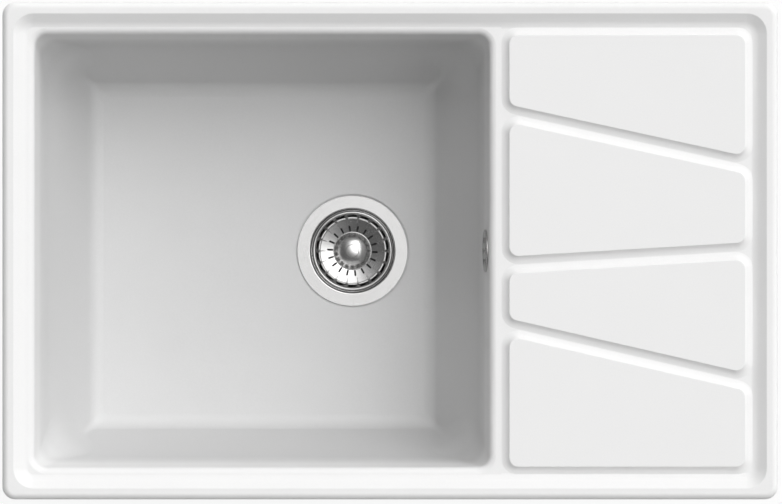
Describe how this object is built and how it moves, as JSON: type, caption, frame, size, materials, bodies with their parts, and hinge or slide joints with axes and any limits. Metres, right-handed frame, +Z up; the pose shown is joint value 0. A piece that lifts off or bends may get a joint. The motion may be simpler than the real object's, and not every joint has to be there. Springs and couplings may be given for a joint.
{
  "type": "kitchen sink",
  "caption": "Drop-in composite kitchen sink with a deep bowl, a drainboard of raised panels, a lift-out basket strainer and an overflow.",
  "frame": {"origin": "centre of the rim's underside, the plane that rests on the worktop", "axes": "+X from the bowl to the drainboard, +Y to the back, +Z up"},
  "size_m": [0.78, 0.5, 0.287],
  "materials": {
    "composite_white": "satin",
    "stainless_steel": "brushed",
    "polished_steel": "polished",
    "white_plastic": "matte",
    "grey_plastic": "matte",
    "black_rubber": "matte",
    "grey_foam": "matte",
    "brass": "machined",
    "zinc_steel": "zinc plated"
  },
  "bodies": {
    "sink": {"sink_body": "composite_white", "rim_seal": "grey_foam", "strainer_cup": "stainless_steel", "flange_gasket": "black_rubber", "lower_gasket": "black_rubber", "waste_body": "white_plastic", "clamping_insert": "brass", "clamping_screw": "stainless_steel", "overflow_rosette": "stainless_steel", "overflow_screw": "stainless_steel", "overflow_gasket": "black_rubber", "overflow_hood": "white_plastic", "overflow_insert": "brass", "overflow_pipe": "white_plastic", "overflow_top_nut": "white_plastic", "overflow_branch_nut": "white_plastic", "overflow_top_washer": "black_rubber", "overflow_branch_washer": "black_rubber", "clamp_plugs": "grey_plastic", "clamp_screws": "zinc_steel"},
    "basket": {"basket_shell": "stainless_steel", "basket_knob": "polished_steel", "basket_post": "stainless_steel", "basket_seal": "black_rubber", "post_clip": "stainless_steel"},
    "arm_left_front": {"clamp_arm_left_front": "zinc_steel"},
    "arm_left_back": {"clamp_arm_left_back": "zinc_steel"},
    "arm_right_front": {"clamp_arm_right_front": "zinc_steel"},
    "arm_right_back": {"clamp_arm_right_back": "zinc_steel"},
    "arm_front_left": {"clamp_arm_front_left": "zinc_steel"},
    "arm_front_right": {"clamp_arm_front_right": "zinc_steel"},
    "arm_back_left": {"clamp_arm_back_left": "zinc_steel"},
    "arm_back_right": {"clamp_arm_back_right": "zinc_steel"}
  },
  "joints": [
    {"name": "basket_lift", "type": "slide", "parent": "sink", "child": "basket", "axis": [0, 0, 1], "range_m": [0, 0.06]},
    {"name": "arm_swing_left_front", "type": "hinge", "parent": "sink", "child": "arm_left_front", "pos_m": [-0.371, -0.12, -0.034], "axis": [0, 0, 1], "range_deg": [-90, 90]},
    {"name": "arm_swing_left_back", "type": "hinge", "parent": "sink", "child": "arm_left_back", "pos_m": [-0.371, 0.12, -0.034], "axis": [0, 0, 1], "range_deg": [-90, 90]},
    {"name": "arm_swing_right_front", "type": "hinge", "parent": "sink", "child": "arm_right_front", "pos_m": [0.371, -0.12, -0.034], "axis": [0, 0, 1], "range_deg": [-90, 90]},
    {"name": "arm_swing_right_back", "type": "hinge", "parent": "sink", "child": "arm_right_back", "pos_m": [0.371, 0.12, -0.034], "axis": [0, 0, 1], "range_deg": [-90, 90]},
    {"name": "arm_swing_front_left", "type": "hinge", "parent": "sink", "child": "arm_front_left", "pos_m": [-0.2, -0.231, -0.034], "axis": [0, 0, 1], "range_deg": [-90, 90]},
    {"name": "arm_swing_front_right", "type": "hinge", "parent": "sink", "child": "arm_front_right", "pos_m": [0.2, -0.231, -0.034], "axis": [0, 0, 1], "range_deg": [-90, 90]},
    {"name": "arm_swing_back_left", "type": "hinge", "parent": "sink", "child": "arm_back_left", "pos_m": [-0.2, 0.231, -0.034], "axis": [0, 0, 1], "range_deg": [-90, 90]},
    {"name": "arm_swing_back_right", "type": "hinge", "parent": "sink", "child": "arm_back_right", "pos_m": [0.2, 0.231, -0.034], "axis": [0, 0, 1], "range_deg": [-90, 90]}
  ]
}
